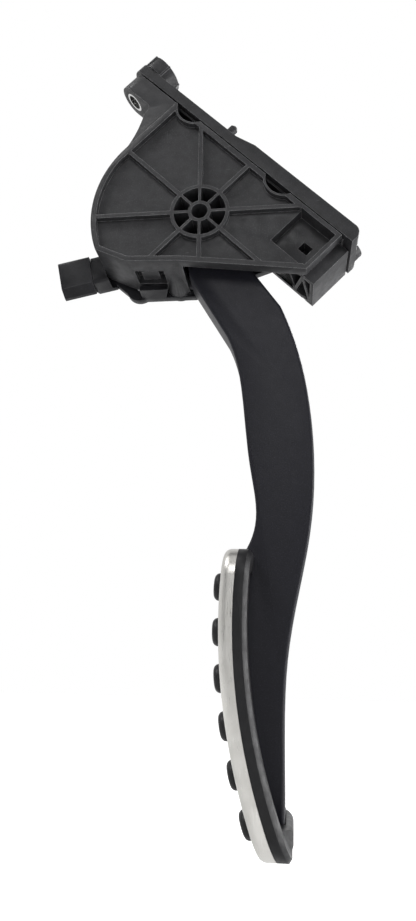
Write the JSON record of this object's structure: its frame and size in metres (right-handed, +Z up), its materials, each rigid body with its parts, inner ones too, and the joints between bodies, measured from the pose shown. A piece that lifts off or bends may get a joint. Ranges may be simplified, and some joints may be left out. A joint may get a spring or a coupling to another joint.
{
  "type": "accelerator pedal",
  "caption": "Hanging drive-by-wire accelerator pedal: ribbed housing on a slanting base, sprung curved arm, angle sensor with connector, and a studded rubber pad under a steel cover.",
  "frame": {"origin": "middle of the upper bolt hole on the outer face of the slanting base", "axes": "+Z up, +X towards the bulkhead, +Y from the ribbed side to the sensor side, along the pivot axis"},
  "size_m": [0.1376, 0.061, 0.3375],
  "materials": {
    "housing_plastic": "dark grey glass-filled moulding, satin, faint grain",
    "base_plastic": "dark grey glass-filled moulding, matte",
    "cover_plastic": "black glass-filled moulding, satin",
    "arm_plastic": "black moulding with a fine smooth grain",
    "bush_plastic": "natural acetal",
    "friction_plastic": "fibre-filled friction plastic",
    "cap_plastic": "natural acetal",
    "sleeve_steel": "zinc-plated steel",
    "screw_steel": "zinc-plated steel",
    "spring_steel": "oiled spring steel",
    "pad_steel": "satin stainless sheet",
    "pad_rubber": "black rubber, matte",
    "bumper_rubber": "black rubber",
    "gasket_rubber": "black rubber cord",
    "magnet_ferrite": "sintered ferrite",
    "board_laminate": "green circuit board",
    "chip_plastic": "black epoxy package",
    "terminal_brass": "plated brass"
  },
  "bodies": {
    "housing": {"housing_shell": "housing_plastic", "mounting_base": "base_plastic", "upper_sleeve": "sleeve_steel", "lower_sleeve": "sleeve_steel", "base_screws": "screw_steel", "friction_disc": "friction_plastic", "disc_spring": "spring_steel", "outer_spring": "spring_steel", "inner_spring": "spring_steel", "rest_bumper": "bumper_rubber", "travel_bumper": "bumper_rubber", "sensor_cover": "cover_plastic", "cover_screws": "screw_steel", "sensor_board": "board_laminate", "hall_chip": "chip_plastic", "terminals": "terminal_brass", "lid_gasket": "gasket_rubber", "sensor_lid": "cover_plastic"},
    "pedal": {"pedal_arm": "arm_plastic", "near_bush": "bush_plastic", "far_bush": "bush_plastic", "magnets": "magnet_ferrite", "pad_rubber": "pad_rubber", "pad_cover": "pad_steel"},
    "spring_cap": {"spring_cap": "cap_plastic"}
  },
  "joints": [
    {"name": "pedal_press", "type": "hinge", "parent": "housing", "child": "pedal", "pos_m": [0.0227, 0.009, -0.07516], "axis": [0, -1, 0], "range_deg": [0, 16], "stiffness_Nm_per_rad": 12, "springref_deg": -25.78},
    {"name": "spring_cap_slide", "type": "slide", "parent": "housing", "child": "spring_cap", "axis": [0, 0, -1], "range_m": [0, 0.00784], "deforming": ["outer_spring", "inner_spring"]}
  ],
  "couplings": [
    {"joint": "spring_cap_slide", "follows": "pedal_press", "m_per_rad": 0.027725}
  ]
}
